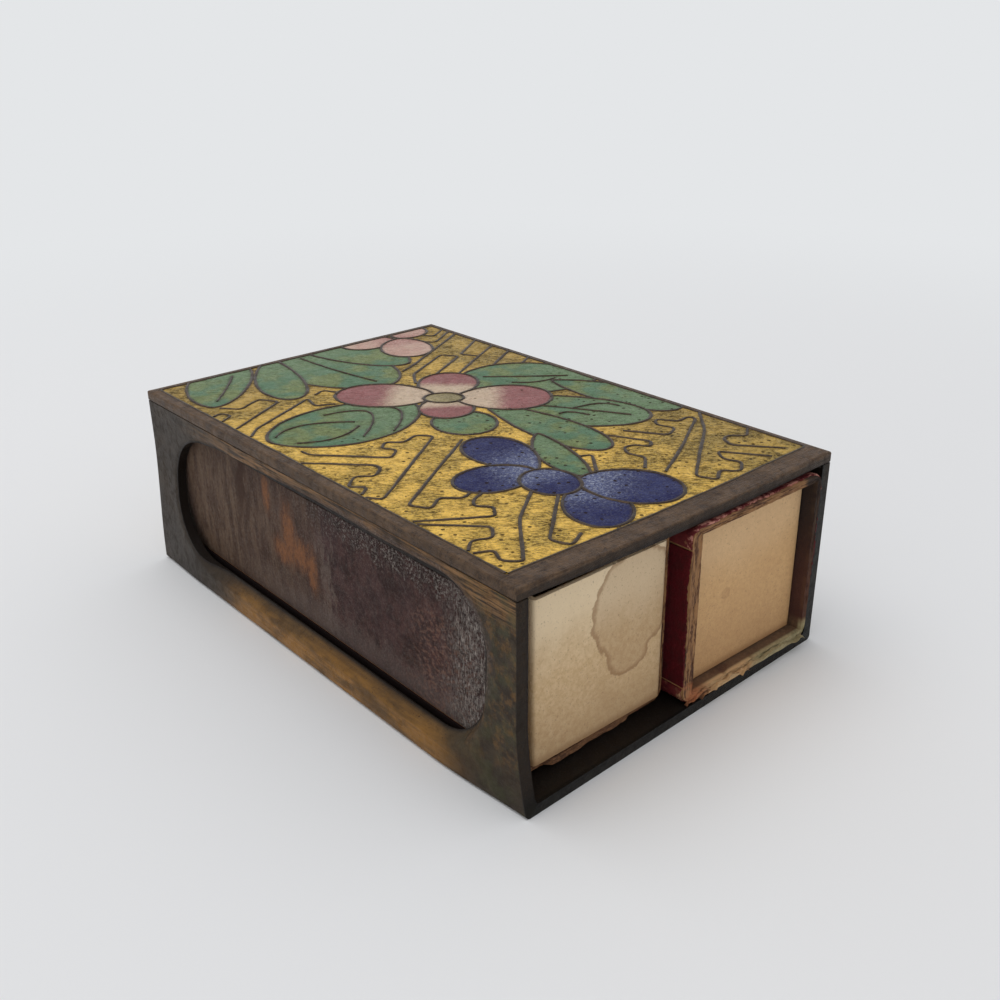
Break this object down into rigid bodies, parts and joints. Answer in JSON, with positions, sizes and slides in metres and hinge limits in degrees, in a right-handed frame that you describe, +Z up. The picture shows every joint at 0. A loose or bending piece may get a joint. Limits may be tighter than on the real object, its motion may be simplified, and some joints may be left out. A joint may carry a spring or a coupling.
{
  "type": "matchbox holder",
  "caption": "Open-ended brass matchbox case with side windows and a cloisonne enamel top, holding two matchboxes side by side with sliding covers and trays.",
  "frame": {"origin": "centre of the bounding box's underside, where the case's floor rests", "axes": "+Z up, +Y from the front mouth to the back mouth along the case's length, +X to the right seen from the front mouth"},
  "size_m": [0.038, 0.0596, 0.0196],
  "materials": {
    "case_brass": "dark patina with worn golden edges",
    "solder": "dull grey-brown",
    "plate_copper": "brown patina",
    "cloison_wire": "dark patina",
    "yellow_enamel": "opaque, pitted, worn gloss",
    "green_enamel": "opaque, shaded to yellow-green",
    "blue_enamel": "opaque, shaded to speckled grey",
    "rose_enamel": "opaque, shaded to cream",
    "blush_enamel": "opaque, pale pink",
    "bud_enamel": "opaque, olive",
    "cover_board": "bare thin board, torn at the edges",
    "cover_paper": "maroon paper",
    "striking_strip": "gritty, scuffed",
    "tray_board": "plain board, stained",
    "aspen": "bare split wood",
    "match_head": "dry, slightly rough"
  },
  "bodies": {
    "holder": {"case_shell": "case_brass", "solder_seams": "solder", "enamel_plate": "plate_copper", "fret_wires": "cloison_wire", "petal_wires": "cloison_wire", "leaf_wires": "cloison_wire", "yellow_enamel": "yellow_enamel", "green_enamel": "green_enamel", "blue_enamel": "blue_enamel", "rose_enamel": "rose_enamel", "blush_enamel": "blush_enamel", "bud_enamel": "bud_enamel"},
    "left_cover": {"left_cover_board": "cover_board", "left_cover_paper": "cover_paper", "left_striking_strips": "striking_strip"},
    "left_tray": {"left_tray_frame": "tray_board", "left_tray_floor": "tray_board", "left_matchsticks": "aspen", "left_match_heads": "match_head"},
    "right_cover": {"right_cover_board": "cover_board", "right_cover_paper": "cover_paper", "right_striking_strips": "striking_strip"},
    "right_tray": {"right_tray_frame": "tray_board", "right_tray_floor": "tray_board", "right_matchsticks": "aspen", "right_match_heads": "match_head"}
  },
  "joints": [
    {"name": "left_cover_slide", "type": "slide", "parent": "holder", "child": "left_cover", "axis": [0, -1, 0], "range_m": [-0.05, 0.05]},
    {"name": "left_tray_slide", "type": "slide", "parent": "left_cover", "child": "left_tray", "axis": [0, -1, 0], "range_m": [-0.045, 0.045]},
    {"name": "right_cover_slide", "type": "slide", "parent": "holder", "child": "right_cover", "axis": [0, -1, 0], "range_m": [-0.05, 0.05]},
    {"name": "right_tray_slide", "type": "slide", "parent": "right_cover", "child": "right_tray", "axis": [0, -1, 0], "range_m": [-0.045, 0.045]}
  ]
}
